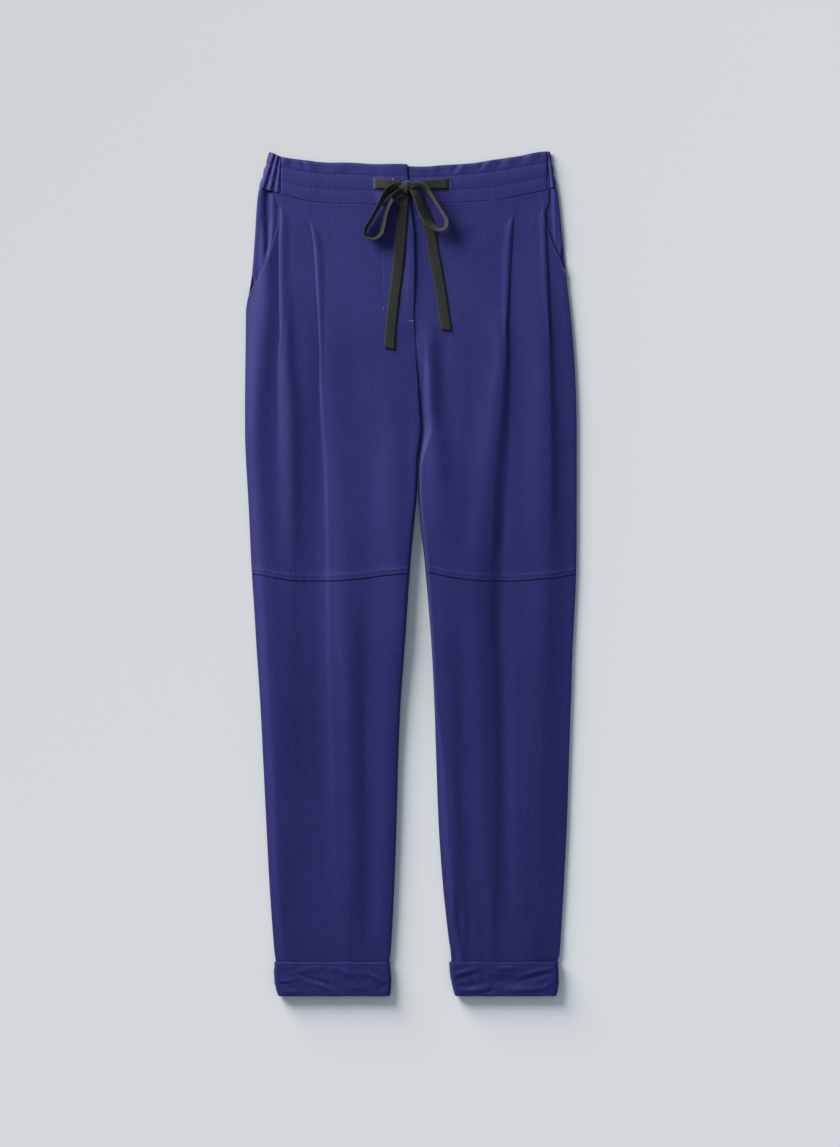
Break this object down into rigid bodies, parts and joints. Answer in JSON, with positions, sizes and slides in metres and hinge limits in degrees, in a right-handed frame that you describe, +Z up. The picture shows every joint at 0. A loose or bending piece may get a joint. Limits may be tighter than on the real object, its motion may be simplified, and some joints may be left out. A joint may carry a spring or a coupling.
{
  "type": "trousers",
  "caption": "Tapered plain crepe trousers laid flat: pleated fronts, slanted pockets, knee seams, turned-up cuffs, gathered back waistband and a tape drawstring tied in a bow.",
  "frame": {"origin": "on the surface that the trousers lie on, under the middle of their outline", "axes": "+Y from the cuffs to the waist, +Z up out of the front of the garment, +X to the viewer's right"},
  "size_m": [0.3944, 1.0036, 0.0187],
  "materials": {
    "crepe": "plain indigo crepe, matt with a faint sheen",
    "tape": "black cotton tape, matt",
    "button": "dark glossy plastic"
  },
  "bodies": {
    "root": {"front_upper_left": "crepe", "front_upper_right": "crepe", "front_lower_left": "crepe", "front_lower_right": "crepe", "hip_left": "crepe", "hip_right": "crepe", "back_left": "crepe", "back_right": "crepe", "band_front_left": "crepe", "band_front_right": "crepe", "band_back": "crepe", "cuff_left": "crepe", "cuff_right": "crepe", "button": "button", "tape_stub_left": "tape", "tape_stub_right": "tape", "tape_knot": "tape", "tape_loop_left": "tape", "tape_loop_right": "tape", "tape_tail_left": "tape", "tape_tail_right": "tape"}
  },
  "joints": []
}
